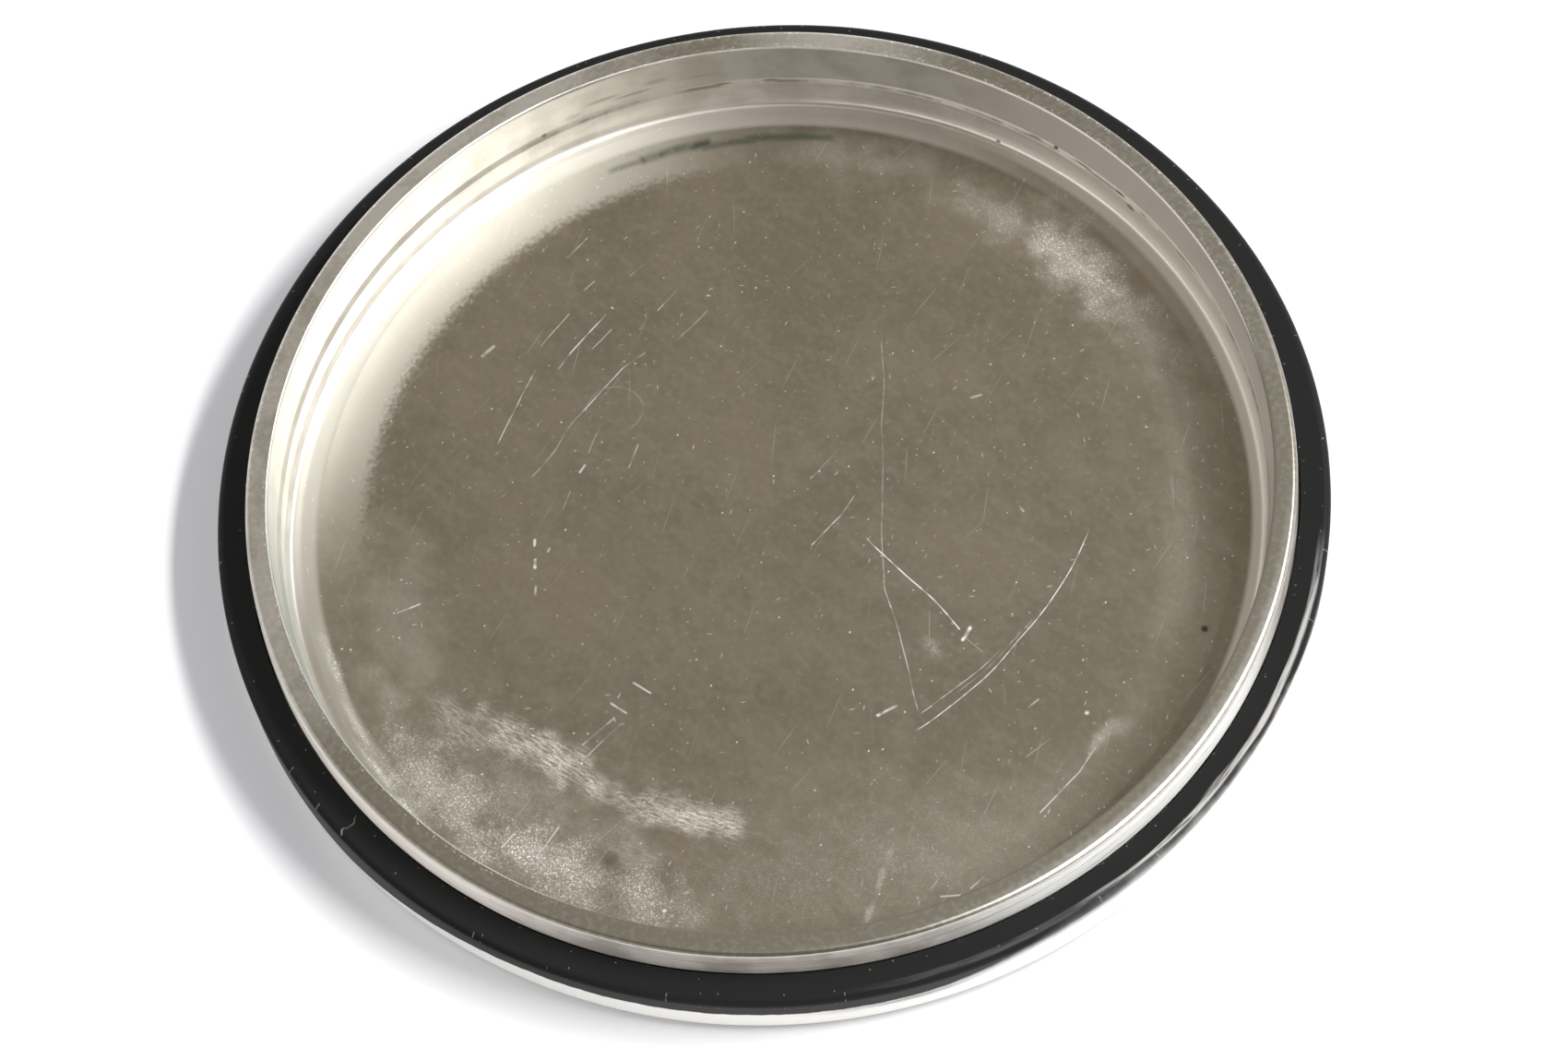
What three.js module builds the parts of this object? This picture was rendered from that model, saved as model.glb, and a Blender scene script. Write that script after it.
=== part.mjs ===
// A shallow round tin, open side up: a bare tinplate pan with a rolled rim stands in its upturned lid,
// whose black edge shows all round below the rim. Millimetres, +Z up, with the origin on the table
// under the middle of the tin.

import * as THREE from 'three';

// Driving dimensions of the whole tin

const tinDiameter = 70;
const facets = 72;
const bendSteps = 4;

// Driving dimensions of the lid

const lidSheet = 0.25;
const lidHeight = 4.45;
const faceBend = 1.15;
const shoulderBend = 0.25;
const shelfWidth = 1.85;
const collarDepth = 1.2;
const collarBend = 0.1;

// Driving dimensions of the pan

const panSheet = 0.25;
const panHeight = 6.35;
const collarClearance = 0.15;
const rimWidth = 1.65;
const rimBend = 0.05;
const skirtLength = 2.5;
const skirtFlare = 0.25;
const skirtBend = 0.1;
const returnShare = 0.7;
const creaseDepth = 3.4;
const creaseRise = 0.3;
const creaseInset = 0.15;
const wallBend = 0.5;
const borderWidth = 1.9;
const borderRise = 0.12;
const borderSlopeShare = 0.55;

// The lid slips over the pan's rim, so its collar is the rim's size plus the clearance

const lidRadius = tinDiameter / 2;
const collarRadius = lidRadius - shelfWidth;
const rimRadius = collarRadius - collarClearance;

// The pan stands on the inner face of the lid's panel

const panBottom = lidSheet;
const rimTop = panBottom + panHeight;
const floorTop = panBottom + panSheet;

// A bend turns one corner of a sheet's face line into an arc. The face lies on the inside of the bend
// when the line turns away from the sheet, and on the outside, one thickness further, when it turns
// towards it.

function bendCorner(before, corner, after, bend, sheet, sheetSide) {
  const into = corner.clone().sub(before).normalize();
  const out = after.clone().sub(corner).normalize();
  const turn = Math.atan2(into.cross(out), into.dot(out));
  const radius = Math.sign(turn) === sheetSide ? bend + sheet : bend;
  const reach = radius * Math.tan(Math.abs(turn) / 2);
  const start = corner.clone().addScaledVector(into, -reach);
  const toCentre = new THREE.Vector2(-into.y, into.x).multiplyScalar(Math.sign(turn) * radius);
  const centre = start.clone().add(toCentre);
  const points = [];
  for (let step = 0; step <= bendSteps; step += 1) {
    points.push(start.clone().rotateAround(centre, (turn * step) / bendSteps));
  }
  return points;
}

// The sheet's other face follows its face line at one thickness, mitred at each point

function offsetLine(line, sheet, sheetSide) {
  return line.map((point, index) => {
    const before = line[Math.max(index - 1, 0)];
    const after = line[Math.min(index + 1, line.length - 1)];
    const into = (index > 0 ? point.clone().sub(before) : after.clone().sub(point)).normalize();
    const out = (index < line.length - 1 ? after.clone().sub(point) : into.clone()).normalize();
    const normal = new THREE.Vector2(-(into.y + out.y), into.x + out.x).normalize();
    const mitre = sheet / normal.dot(new THREE.Vector2(-into.y, into.x));
    return point.clone().addScaledVector(normal, mitre * sheetSide);
  });
}

// A shell of one thickness is spun from its visible face line, given as corners [radius, height, bend].
// The line starts on the axis, and sheetSide is 1 where the sheet lies left of it and -1 where right.

function spunShell(corners, sheet, sheetSide) {
  const places = corners.map(([radius, height]) => new THREE.Vector2(radius, height));
  const line = places.flatMap((place, index) => {
    const bend = corners[index][2];
    if (bend === undefined) {
      return [place];
    }
    return bendCorner(places[index - 1], place, places[index + 1], bend, sheet, sheetSide);
  });
  const outline = [...line, ...offsetLine(line, sheet, sheetSide).reverse()];
  if (sheetSide < 0) {
    outline.reverse();
  }
  return new THREE.LatheGeometry(outline, facets);
}

// The shells are spun about +Y and turned to stand on +Z

function standingShell(name, geometry, finish) {
  const shell = new THREE.Mesh(geometry, new THREE.MeshStandardMaterial(finish));
  shell.name = name;
  shell.rotation.x = Math.PI / 2;
  return shell;
}

// Lid, turned upside down: its face lies on the table, its side goes up to a rounded shoulder, and its
// edge turns in as a flat shelf and down as a collar

function lidShell() {
  const corners = [
    [0, 0],
    [lidRadius, 0, faceBend],
    [lidRadius, lidHeight, shoulderBend],
    [collarRadius, lidHeight, collarBend],
    [collarRadius, lidHeight - collarDepth],
  ];
  const finish = { color: 0x262624, roughness: 0.3, metalness: 0.2 };
  return standingShell('lid_shell', spunShell(corners, lidSheet, 1), finish);
}

// Pan: flat floor with a sloping border, a wall with a crease round it, and a flat rim rolled outwards
// into a skirt whose edge turns in again

function basePan() {
  const wallRadius = rimRadius - rimWidth;
  const lowerWallRadius = wallRadius - creaseInset;
  const floorRadius = lowerWallRadius - borderWidth;
  const slopeEnd = floorRadius + borderWidth * borderSlopeShare;
  const creaseTop = rimTop - creaseDepth;
  const skirtBottom = rimTop - skirtLength;
  const returnWidth = (rimWidth - 2 * panSheet) * returnShare;
  const corners = [
    [0, floorTop],
    [floorRadius, floorTop],
    [slopeEnd, floorTop + borderRise],
    [lowerWallRadius, floorTop + borderRise, wallBend],
    [lowerWallRadius, creaseTop - creaseRise],
    [wallRadius, creaseTop],
    [wallRadius, rimTop, rimBend],
    [rimRadius - skirtFlare, rimTop, rimBend],
    [rimRadius, skirtBottom, skirtBend],
    [rimRadius - returnWidth, skirtBottom],
  ];
  const finish = { color: 0xaaa496, roughness: 0.34, metalness: 0.95 };
  return standingShell('base_pan', spunShell(corners, panSheet, -1), finish);
}

const shoePolishTin = new THREE.Group();
shoePolishTin.add(lidShell());
shoePolishTin.add(basePan());

export default shoePolishTin;
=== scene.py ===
import math
import bpy
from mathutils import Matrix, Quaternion, Vector


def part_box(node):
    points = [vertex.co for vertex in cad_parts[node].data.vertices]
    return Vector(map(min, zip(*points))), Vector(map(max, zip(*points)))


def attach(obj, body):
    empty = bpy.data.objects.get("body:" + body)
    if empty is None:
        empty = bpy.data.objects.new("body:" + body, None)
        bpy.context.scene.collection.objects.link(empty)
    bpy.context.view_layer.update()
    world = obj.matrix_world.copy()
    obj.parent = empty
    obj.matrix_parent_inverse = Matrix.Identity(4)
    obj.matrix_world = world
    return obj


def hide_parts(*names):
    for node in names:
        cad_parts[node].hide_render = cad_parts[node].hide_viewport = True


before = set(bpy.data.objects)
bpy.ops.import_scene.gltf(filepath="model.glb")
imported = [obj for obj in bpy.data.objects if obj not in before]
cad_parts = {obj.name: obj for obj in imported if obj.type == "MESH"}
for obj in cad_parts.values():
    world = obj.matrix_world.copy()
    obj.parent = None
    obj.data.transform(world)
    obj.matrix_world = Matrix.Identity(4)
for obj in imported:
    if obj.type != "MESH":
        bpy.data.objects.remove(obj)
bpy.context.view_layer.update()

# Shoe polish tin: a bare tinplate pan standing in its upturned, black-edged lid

mm = 0.001
turn = math.radians(360)
mergeGap = 0.001 * mm
origin = (0, 0, 0)

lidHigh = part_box("lid_shell")[1]
panLow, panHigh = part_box("base_pan")


# Modelling helpers

def setMode(mode):
    bpy.ops.object.mode_set(mode=mode)


def deselectAll():
    if bpy.context.object and bpy.context.object.mode != "OBJECT":
        setMode("OBJECT")
    bpy.ops.object.select_all(action="DESELECT")


def pickPiece(piece):
    deselectAll()
    piece.select_set(True)
    bpy.context.view_layer.objects.active = piece


def selectPoints(piece, chosen):
    # picks vertices by their place and leaves the piece in edit mode
    setMode("EDIT")
    bpy.ops.mesh.select_mode(type="VERT")
    bpy.ops.mesh.select_all(action="DESELECT")
    setMode("OBJECT")
    for vertex in piece.data.vertices:
        vertex.select = chosen(vertex.co)
    setMode("EDIT")


def bendReach(before, corner, after):
    # how far from its corner a bend begins
    into = Vector((corner[0] - before[0], corner[1] - before[1]))
    out = Vector((after[0] - corner[0], after[1] - corner[1]))
    return corner[2] * math.tan(into.angle(out) / 2)


def addSupports(corners, gap):
    # a ring just outside each bend, so that the flats beside it are shaded flat
    reaches = [0] * len(corners)
    for index in range(1, len(corners) - 1):
        if len(corners[index]) > 2:
            reaches[index] = bendReach(corners[index - 1], corners[index], corners[index + 1])
    line = [corners[0]]
    for index in range(1, len(corners)):
        here = Vector(corners[index - 1][:2])
        there = Vector(corners[index][:2])
        away = (there - here).normalized()
        roomy = (there - here).length - reaches[index - 1] - reaches[index] > 3 * gap
        if roomy and reaches[index - 1]:
            line.append(list(here + away * (reaches[index - 1] + gap)))
        if roomy and reaches[index]:
            line.append(list(there - away * (reaches[index] + gap)))
        line.append(corners[index])
    return line


def drawFaceLine(name, corners):
    # a tiny plane is merged to one point, and the line is extruded from it corner by corner
    deselectAll()
    bpy.ops.mesh.primitive_plane_add(size=mm)
    piece = bpy.context.object
    piece.name = name
    setMode("EDIT")
    bpy.ops.mesh.merge(type="CENTER")
    spots = [Vector((radius, 0, height)) for radius, height, *_ in corners]
    bpy.ops.transform.translate(value=spots[0])
    for here, there in zip(spots, spots[1:]):
        bpy.ops.mesh.extrude_region_move(TRANSFORM_OT_translate={"value": there - here})
    return piece


def roundCorners(piece, corners, steps):
    # each corner with a bend becomes an arc of that radius on the face line
    for before, corner, after in zip(corners, corners[1:], corners[2:]):
        if len(corner) < 3:
            continue
        spot = Vector((corner[0], 0, corner[1]))
        reach = bendReach(before, corner, after)
        selectPoints(piece, lambda point: (point - spot).length < 2 * mergeGap)
        bpy.ops.mesh.bevel(offset=reach, segments=steps, profile=0.5, affect="VERTICES")
    setMode("OBJECT")


def spinShell(piece, steps, upward):
    # the face line is spun round +Z, and its faces are turned to the side that shows
    selectPoints(piece, lambda point: True)
    bpy.ops.mesh.spin(steps=steps, angle=turn, center=origin, axis=(0, 0, 1))
    bpy.ops.mesh.select_all(action="SELECT")
    bpy.ops.mesh.remove_doubles(threshold=mergeGap)
    bpy.ops.mesh.normals_make_consistent(inside=False)
    setMode("OBJECT")
    middle = min(piece.data.polygons, key=lambda face: face.center.xy.length)
    if (middle.normal.z > 0) != upward:
        setMode("EDIT")
        bpy.ops.mesh.select_all(action="SELECT")
        bpy.ops.mesh.flip_normals()
        setMode("OBJECT")


def chooseZone(piece, name, weightAt):
    # a vertex group whose weight is worked out from the place
    group = piece.vertex_groups.new(name=name)
    for vertex in piece.data.vertices:
        weight = weightAt(vertex.co)
        if weight > 0:
            group.add([vertex.index], weight, "REPLACE")
    return name


def addFinishes(piece, finishes):
    # before the sheet gets its thickness, so that its back can take another one
    for finish in finishes:
        piece.data.materials.append(finish)


def paintFaces(piece, slot, chosen):
    for face in piece.data.polygons:
        if chosen(face.center):
            face.material_index = slot


def applyModifier(piece, modifier):
    pickPiece(piece)
    bpy.ops.object.modifier_apply(modifier=modifier.name)


def unevenSheet(piece, zone, size, height, level):
    # soft unevenness in one zone; at level 1 the sheet only sinks
    cloud = bpy.data.textures.new(zone + "Cloud", "CLOUDS")
    cloud.noise_scale = size
    cloud.noise_depth = 1
    uneven = piece.modifiers.new(zone + "Uneven", "DISPLACE")
    uneven.texture = cloud
    uneven.texture_coords = "LOCAL"
    uneven.vertex_group = zone
    uneven.mid_level = level
    uneven.strength = height
    applyModifier(piece, uneven)


def thickenSheet(piece, sheet, backSlot, edgeSlot):
    # the slots are counted on from the front's
    wall = piece.modifiers.new("sheet", "SOLIDIFY")
    wall.thickness = sheet
    wall.offset = -1
    wall.use_even_offset = True
    wall.material_offset = backSlot
    wall.material_offset_rim = edgeSlot
    applyModifier(piece, wall)


def smoothShade(piece, angle):
    pickPiece(piece)
    bpy.ops.object.shade_smooth_by_angle(angle=math.radians(angle))


def easeIn(value, low, high):
    share = min(max((value - low) / (high - low), 0), 1)
    return share * share * (3 - 2 * share)


# Pan: floor with its border, creased wall, flat rim and skirt

panValues = {
    "sheet": 0.25 * mm,
    "rimRadius": 33 * mm,
    "rimWidth": 1.65 * mm,
    "rimInnerBend": 0.16 * mm,
    "rimOuterBend": 0.34 * mm,
    "skirtLength": 2.5 * mm,
    "skirtFlare": 0.25 * mm,
    "skirtBend": 0.3 * mm,
    "returnWidth": 0.8 * mm,
    "beadDepth": 0.95 * mm,
    "beadHeight": 0.05 * mm,
    "beadLength": 0.2 * mm,
    "beadBend": 0.6 * mm,
    "creaseDepth": 3.4 * mm,
    "creaseRise": 0.4 * mm,
    "creaseInset": 0.18 * mm,
    "creaseBend": 0.12 * mm,
    "wallBend": 0.45 * mm,
    "borderWidth": 1.9 * mm,
    "borderRise": 0.12 * mm,
    "borderSlopeShare": 0.55,
    "borderBend": 0.9 * mm,
    "floorBend": 1.2 * mm,
    "floorRings": 28,
    "floorDome": 0.1 * mm,
    "domeFrom": 0.85,
    "domeTo": 0.98,
    "spinSteps": 384,
    "bendSteps": 6,
    "supportGap": 0.04 * mm,
    "floorWave": 0.03 * mm,
    "floorWaveSize": 9 * mm,
    "floorWaveFrom": 0.7,
    "rimWave": 0.02 * mm,
    "rimWaveSize": 5 * mm,
    "rimWaveFrom": 3 * mm,
    "rimWaveFull": 1 * mm,
    "tarnishedTo": 31 * mm,
    "smoothAngle": 40,
}


def makePan(finishes):
    v = panValues
    top = panHigh.z
    floorTop = panLow.z + v["sheet"]
    wall = v["rimRadius"] - v["rimWidth"]
    lowerWall = wall - v["creaseInset"]
    floorEdge = lowerWall - v["borderWidth"]
    slopeEnd = floorEdge + v["borderWidth"] * v["borderSlopeShare"]
    borderTop = floorTop + v["borderRise"]
    skirtBottom = top - v["skirtLength"]
    beadTop = top - v["beadDepth"]
    flareAtBead = v["skirtFlare"] * v["beadDepth"] / v["skirtLength"]
    beadRadius = v["rimRadius"] - v["skirtFlare"] + flareAtBead
    rings = []
    for ring in range(v["floorRings"]):
        radius = floorEdge * ring / v["floorRings"]
        fall = easeIn(radius, v["domeFrom"] * floorEdge, v["domeTo"] * floorEdge)
        rings.append([radius, floorTop + v["floorDome"] * (1 - fall)])
    corners = rings + [
        [floorEdge, floorTop, v["floorBend"]],
        [slopeEnd, borderTop, v["borderBend"]],
        [lowerWall, borderTop, v["wallBend"]],
        [lowerWall, top - v["creaseDepth"] - v["creaseRise"], v["creaseBend"]],
        [wall, top - v["creaseDepth"], v["creaseBend"]],
        [wall, top, v["rimInnerBend"]],
        [v["rimRadius"] - v["skirtFlare"], top, v["rimOuterBend"]],
        [beadRadius + v["beadHeight"], beadTop, v["beadBend"]],
        [beadRadius, beadTop - v["beadLength"], v["beadBend"]],
        [v["rimRadius"], skirtBottom, v["skirtBend"]],
        [v["rimRadius"] - v["returnWidth"], skirtBottom],
    ]
    corners = addSupports(corners, v["supportGap"])
    pan = drawFaceLine("tinplate_pan", corners)
    roundCorners(pan, corners, v["bendSteps"])
    spinShell(pan, v["spinSteps"], upward=True)
    addFinishes(pan, finishes)
    waveFrom = v["floorWaveFrom"] * floorEdge
    floorZone = chooseZone(pan, "floorZone", lambda spot: 1 - easeIn(spot.xy.length, waveFrom, floorEdge))
    unevenSheet(pan, floorZone, v["floorWaveSize"], v["floorWave"], level=0.5)
    waveLow = top - v["rimWaveFrom"]
    waveHigh = top - v["rimWaveFull"]
    rimZone = chooseZone(pan, "rimZone", lambda spot: easeIn(spot.z, waveLow, waveHigh))
    unevenSheet(pan, rimZone, v["rimWaveSize"], v["rimWave"], level=1)
    paintFaces(pan, slot=1, chosen=lambda spot: spot.xy.length < v["tarnishedTo"])
    thickenSheet(pan, v["sheet"], backSlot=2, edgeSlot=2)
    smoothShade(pan, v["smoothAngle"])
    return pan


# Lid, upturned: pale face and side, black shoulder, shelf and collar

lidValues = {
    "sheet": 0.25 * mm,
    "faceBend": 1.4 * mm,
    "shoulderBend": 0.5 * mm,
    "shelfWidth": 1.96 * mm,
    "collarBend": 0.06 * mm,
    "collarDepth": 1.2 * mm,
    "faceRings": 12,
    "spinSteps": 384,
    "bendSteps": 8,
    "supportGap": 0.05 * mm,
    "shelfWave": 0.03 * mm,
    "shelfWaveSize": 6 * mm,
    "shelfWaveFrom": 1.5 * mm,
    "shelfWaveFull": 0.3 * mm,
    "smoothAngle": 40,
}


def makeLid(finishes):
    v = lidValues
    radius = lidHigh.x
    top = lidHigh.z
    collar = radius - v["shelfWidth"]
    flat = radius - v["faceBend"]
    rings = [[flat * ring / v["faceRings"], 0] for ring in range(v["faceRings"])]
    corners = rings + [
        [radius, 0, v["faceBend"]],
        [radius, top, v["shoulderBend"]],
        [collar, top, v["collarBend"]],
        [collar, top - v["collarDepth"]],
    ]
    corners = addSupports(corners, v["supportGap"])
    lid = drawFaceLine("lacquered_lid", corners)
    roundCorners(lid, corners, v["bendSteps"])
    spinShell(lid, v["spinSteps"], upward=False)
    addFinishes(lid, finishes)
    waveLow = top - v["shelfWaveFrom"]
    waveHigh = top - v["shelfWaveFull"]
    shelfZone = chooseZone(lid, "shelfZone", lambda spot: easeIn(spot.z, waveLow, waveHigh))
    unevenSheet(lid, shelfZone, v["shelfWaveSize"], v["shelfWave"], level=1)
    thickenSheet(lid, v["sheet"], backSlot=1, edgeSlot=1)
    smoothShade(lid, v["smoothAngle"])
    return lid


# Shader helpers

def addNode(tree, kind, inputs=None, **settings):
    made = tree.nodes.new("ShaderNode" + kind)
    for name, value in settings.items():
        setattr(made, name, value)
    for name, value in (inputs or {}).items():
        if isinstance(value, bpy.types.NodeSocket):
            tree.links.new(value, made.inputs[name])
        else:
            made.inputs[name].default_value = value
    return made


def maths(tree, operation, first, second=0, third=0):
    inputs = {0: first, 1: second, 2: third}
    return addNode(tree, "Math", inputs, operation=operation).outputs[0]


def plus(tree, first, second):
    return maths(tree, "ADD", first, second)


def minus(tree, first, second):
    return maths(tree, "SUBTRACT", first, second)


def times(tree, *factors):
    product = factors[0]
    for factor in factors[1:]:
        product = maths(tree, "MULTIPLY", product, factor)
    return product


def scaledPlus(tree, value, factor, added):
    return maths(tree, "MULTIPLY_ADD", value, factor, added)


def offBy(tree, value, middle):
    return maths(tree, "ABSOLUTE", minus(tree, value, middle))


def strongest(tree, *masks):
    best = masks[0]
    for mask in masks[1:]:
        best = maths(tree, "MAXIMUM", best, mask)
    return best


def compassAngle(tree, parts):
    # degrees round +Z, from +X
    return maths(tree, "DEGREES", maths(tree, "ARCTAN2", parts["Y"], parts["X"]))


def angleShift(tree, angle, middle):
    # the short way round, in degrees
    return maths(tree, "WRAP", minus(tree, angle, middle), 180, -180)


def vectorMaths(tree, operation, first, second=origin, output=0):
    return addNode(tree, "VectorMath", {0: first, 1: second}, operation=operation).outputs[output]


def lengthOf(tree, vector):
    return vectorMaths(tree, "LENGTH", vector, output="Value")


def stretched(tree, vector, factors):
    return vectorMaths(tree, "MULTIPLY", vector, factors)


def flattened(tree, place):
    return stretched(tree, place, (1, 1, 0))


def scaled(tree, vector, factor):
    return addNode(tree, "VectorMath", {0: vector, "Scale": factor}, operation="SCALE").outputs[0]


def turned(tree, vector, angle, backwards=False):
    inputs = {"Vector": vector, "Angle": angle}
    return addNode(tree, "VectorRotate", inputs, rotation_type="Z_AXIS", invert=backwards).outputs[0]


def flatPlace(tree, across, up):
    return addNode(tree, "CombineXYZ", {0: across, 1: up}).outputs[0]


def ramp(tree, value, low, high, lowTo=0, highTo=1):
    inputs = {0: value, 1: low, 2: high, 3: lowTo, 4: highTo}
    return addNode(tree, "MapRange", inputs, interpolation_type="SMOOTHSTEP").outputs[0]


def noiseAt(tree, place, scale=1, detail=1, output="Fac"):
    # flat noise, over X and Y of the place
    inputs = {"Vector": place, "Scale": scale, "Detail": detail}
    return addNode(tree, "TexNoise", inputs, noise_dimensions="2D").outputs[output]


def bumpFrom(tree, height, depth):
    return addNode(tree, "Bump", {"Distance": depth, "Height": height}).outputs[0]


def blend(tree, share, first, second):
    return addNode(tree, "Mix", {0: share, 6: first, 7: second}, data_type="RGBA").outputs[2]


def mixValue(tree, share, first, second):
    return addNode(tree, "Mix", {0: share, 2: first, 3: second}, data_type="FLOAT").outputs[0]


def cover(tree, mix, lowest, layers):
    # each layer is a mask and what it shows, from the lowest up
    result = lowest
    for mask, shown in layers:
        result = mix(tree, mask, result, shown)
    return result


def newMaterial(name):
    material = bpy.data.materials.new(name)
    material.use_nodes = True
    material.node_tree.nodes.clear()
    return material, material.node_tree


def finishMaterial(material, tree, inputs):
    shader = addNode(tree, "BsdfPrincipled", inputs)
    addNode(tree, "OutputMaterial", {"Surface": shader.outputs[0]})
    return material


# Camera, lamps, world and floor

cameraValues = {
    "lens": 84.706,
    "elevation": 61.06,
    "distance": 231.7 * mm,
    "sensor": 36,
    "clipStart": 0.01,
    "clipEnd": 20,
    "centre": Vector((0, 0, 4.25 * mm)),
    "aim": Vector((0.522 * mm, -3.213 * mm, 4.25 * mm)),
    "roll": -7.67,
}


def makeCamera():
    v = cameraValues
    elevation = math.radians(v["elevation"])
    back = Vector((0, -math.cos(elevation), math.sin(elevation)))
    bpy.ops.object.camera_add(location=v["centre"] + back * v["distance"])
    camera = bpy.context.object
    facing = (v["aim"] - camera.location).to_track_quat("-Z", "Y")
    camera.rotation_mode = "QUATERNION"
    camera.rotation_quaternion = facing @ Quaternion((0, 0, 1), math.radians(v["roll"]))
    camera.data.lens = v["lens"]
    camera.data.sensor_width = v["sensor"]
    camera.data.clip_start = v["clipStart"]
    camera.data.clip_end = v["clipEnd"]
    bpy.context.scene.camera = camera


# azimuth and elevation in degrees, distance, width and height in metres, watts
lamps = {
    "key": (-5, 49, 0.6, 0.36, 0.06, 4.2),
    "fill": (205, 20, 0.5, 0.3, 0.3, 0.9),
}

lightValues = {
    "ambient": (0.34, 0.34, 0.36, 1),
    "horizon": (1, 1, 1, 1),
    "ceiling": (0.48, 0.45, 0.4, 1),
    "ceilingFrom": 15,
    "ceilingFull": 50,
}

# what the metal mirrors: azimuth, half width, elevation, half height, soft edge, all in degrees, colour
skyCards = [
    (-115, 38, 60, 26, 14, (0.2, 0.185, 0.165, 1)),
    (-90, 24, 20, 22, 10, (0.22, 0.2, 0.18, 1)),
    (-8, 42, 57, 19, 5, (8.6, 9, 9.8, 1)),
]


def makeLamp(name):
    azimuth, elevation, distance, width, height, power = lamps[name]
    around = math.radians(azimuth)
    up = math.radians(elevation)
    ray = Vector((math.cos(around) * math.cos(up), math.sin(around) * math.cos(up), math.sin(up)))
    bpy.ops.object.light_add(type="AREA", location=ray * distance)
    lamp = bpy.context.object
    lamp.name = name
    lamp.rotation_mode = "QUATERNION"
    lamp.rotation_quaternion = ray.to_track_quat("Z", "Y")
    lamp.data.shape = "RECTANGLE"
    lamp.data.size = width
    lamp.data.size_y = height
    lamp.data.energy = power
    # the metal mirrors the sky's window instead
    lamp.visible_glossy = False


def seenDirectly(tree):
    # 1 for what the camera, a reflection or a refraction looks at
    path = addNode(tree, "LightPath")
    kinds = ("Is Camera Ray", "Is Glossy Ray", "Is Transmission Ray")
    return strongest(tree, *[path.outputs[kind] for kind in kinds])


def skyPatch(tree, azimuth, elevation, card):
    # 1 inside a soft-edged rectangle of sky
    middle, halfWidth, height, halfHeight, soft, _ = card
    across = maths(tree, "ABSOLUTE", angleShift(tree, azimuth, middle))
    along = offBy(tree, elevation, height)
    inside = ramp(tree, across, halfWidth + soft, halfWidth - soft)
    return times(tree, inside, ramp(tree, along, halfHeight + soft, halfHeight - soft))


def makeWorld():
    v = lightValues
    world = bpy.data.worlds.new("studio")
    world.use_nodes = True
    tree = world.node_tree
    tree.nodes.clear()
    parts = addNode(tree, "SeparateXYZ", {0: addNode(tree, "TexCoord").outputs["Generated"]}).outputs
    azimuth = compassAngle(tree, parts)
    elevation = maths(tree, "DEGREES", maths(tree, "ARCSINE", parts["Z"]))
    share = ramp(tree, elevation, v["ceilingFrom"], v["ceilingFull"])
    colour = blend(tree, share, v["horizon"], v["ceiling"])
    cards = [(skyPatch(tree, azimuth, elevation, card), card[-1]) for card in skyCards]
    shown = addNode(tree, "Background", {"Color": cover(tree, blend, colour, cards)})
    ambient = addNode(tree, "Background", {"Color": v["ambient"]})
    inputs = {0: seenDirectly(tree), 1: ambient.outputs[0], 2: shown.outputs[0]}
    mixed = addNode(tree, "MixShader", inputs)
    addNode(tree, "OutputWorld", {"Surface": mixed.outputs[0]})
    bpy.context.scene.world = world


paperValues = {
    "size": 6,
    "colour": (0.82, 0.82, 0.82, 1),
    "glow": 0.12,
    "farGlow": 0.9,
    "farFrom": 0.12,
    "farFull": 0.6,
}


def makePaper():
    v = paperValues
    deselectAll()
    bpy.ops.mesh.primitive_plane_add(size=v["size"])
    floor = bpy.context.object
    floor.name = "studio_floor"
    material, tree = newMaterial("whitePaper")
    paper = addNode(tree, "BsdfDiffuse", {"Color": v["colour"]})
    # far from the lamps the paper shines a little more, so that it stays white in a low view
    away = lengthOf(tree, addNode(tree, "TexCoord").outputs["Object"])
    glow = ramp(tree, away, v["farFrom"], v["farFull"], v["glow"], v["farGlow"])
    shine = addNode(tree, "Emission", {"Strength": times(tree, seenDirectly(tree), glow)})
    both = addNode(tree, "AddShader", {0: paper.outputs[0], 1: shine.outputs[0]})
    addNode(tree, "OutputMaterial", {"Surface": both.outputs[0]})
    floor.data.materials.append(material)


# Effects that the finishes share, each made once as a node group. Places are in millimetres.
# A fade is given as where it begins, where it is full and, if need be, its result at either end.

effectValues = {
    "arcFade": 0.3,
    "softCore": 0.3,
    "weakestFleck": 0.3,
    "smearBreak": 1.4,
    "smearFade": (1.2, -0.1),
    "smearStretch": (1.4, 7, 0),
    "smearTexture": (0.25, 0.75, 0.1, 1.5),
}


def newGroup(name, places, numbers, results):
    tree = bpy.data.node_groups.new(name, "ShaderNodeTree")
    rows = [("Vector", "INPUT", places), ("Float", "INPUT", numbers), ("Float", "OUTPUT", results)]
    for kind, way, titles in rows:
        for title in titles.split():
            tree.interface.new_socket(title, in_out=way, socket_type="NodeSocket" + kind)
    return tree, tree.nodes.new("NodeGroupInput").outputs


def closeGroup(tree, results):
    end = tree.nodes.new("NodeGroupOutput")
    for name, socket in results.items():
        tree.links.new(socket, end.inputs[name])


def useGroup(tree, name, inputs):
    return addNode(tree, "Group", inputs, node_tree=bpy.data.node_groups[name]).outputs


def makeRoundPlace():
    # radius and height in millimetres and angle in degrees, round the tin's axis
    tree, given = newGroup("roundPlace", "Place", "", "Radius Angle Height")
    parts = addNode(tree, "SeparateXYZ", {0: given["Place"]}).outputs
    radius = lengthOf(tree, flatPlace(tree, parts["X"], parts["Y"]))
    closeGroup(tree, {"Radius": radius, "Angle": compassAngle(tree, parts), "Height": parts["Z"]})


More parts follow.
